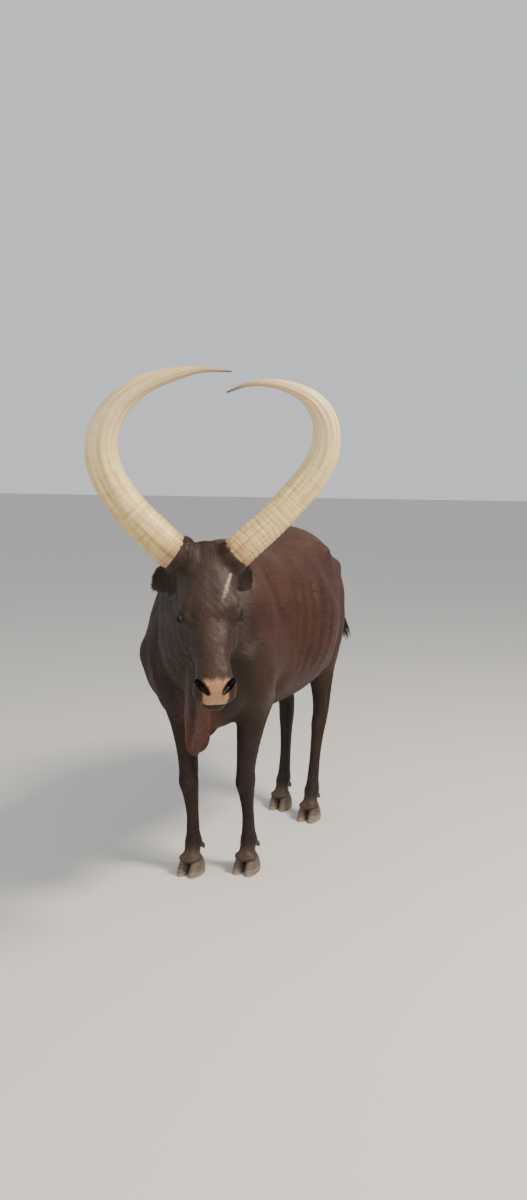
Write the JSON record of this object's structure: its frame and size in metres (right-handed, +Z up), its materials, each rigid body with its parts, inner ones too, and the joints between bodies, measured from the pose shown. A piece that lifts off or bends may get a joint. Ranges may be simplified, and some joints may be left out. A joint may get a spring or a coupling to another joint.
{
  "type": "ankole watusi cow, standing life-size still model",
  "caption": "Life-size still model of a standing dark brown long-horned cow with its head turned to its left, on cloven hooves.",
  "frame": {"origin": "on the floor, under the middle of the bounding box", "axes": "+Z up; the cow faces -Y, so +Y runs from its head to its tail; +X is its left side"},
  "size_m": [0.925, 2.2226, 1.8585],
  "materials": {
    "body_coat": "short glossy reddish dark brown hair",
    "face_coat": "short grey-brown to black-brown hair, bare pinkish tan nose pad",
    "switch_hair": "long coarse black-brown hair in locks",
    "horn": "satin ivory horn with growth rings, cracks and dark tips",
    "hoof": "dull grey-brown horn with growth lines",
    "eye": "wet dark brown eye"
  },
  "bodies": {
    "root": {"hoof_fore_left_inner": "hoof", "dewclaw_fore_left_inner": "hoof", "hoof_fore_left_outer": "hoof", "dewclaw_fore_left_outer": "hoof", "hoof_fore_right_inner": "hoof", "dewclaw_fore_right_inner": "hoof", "hoof_fore_right_outer": "hoof", "dewclaw_fore_right_outer": "hoof", "hoof_hind_left_inner": "hoof", "dewclaw_hind_left_inner": "hoof", "hoof_hind_left_outer": "hoof", "dewclaw_hind_left_outer": "hoof", "hoof_hind_right_inner": "hoof", "dewclaw_hind_right_inner": "hoof", "hoof_hind_right_outer": "hoof", "dewclaw_hind_right_outer": "hoof", "foreleg_left": "body_coat", "foreleg_right": "body_coat", "hindleg_left": "body_coat", "hindleg_right": "body_coat", "head": "face_coat", "neck": "face_coat", "torso": "body_coat", "dewlap": "body_coat", "udder": "body_coat", "tail": "body_coat", "tail_switch": "switch_hair", "eye_right": "eye", "ear_right": "face_coat", "horn_right_base": "horn", "horn_right_middle": "horn", "horn_right_tip": "horn", "eye_left": "eye", "ear_left": "face_coat", "horn_left_base": "horn", "horn_left_middle": "horn", "horn_left_tip": "horn"}
  },
  "joints": []
}
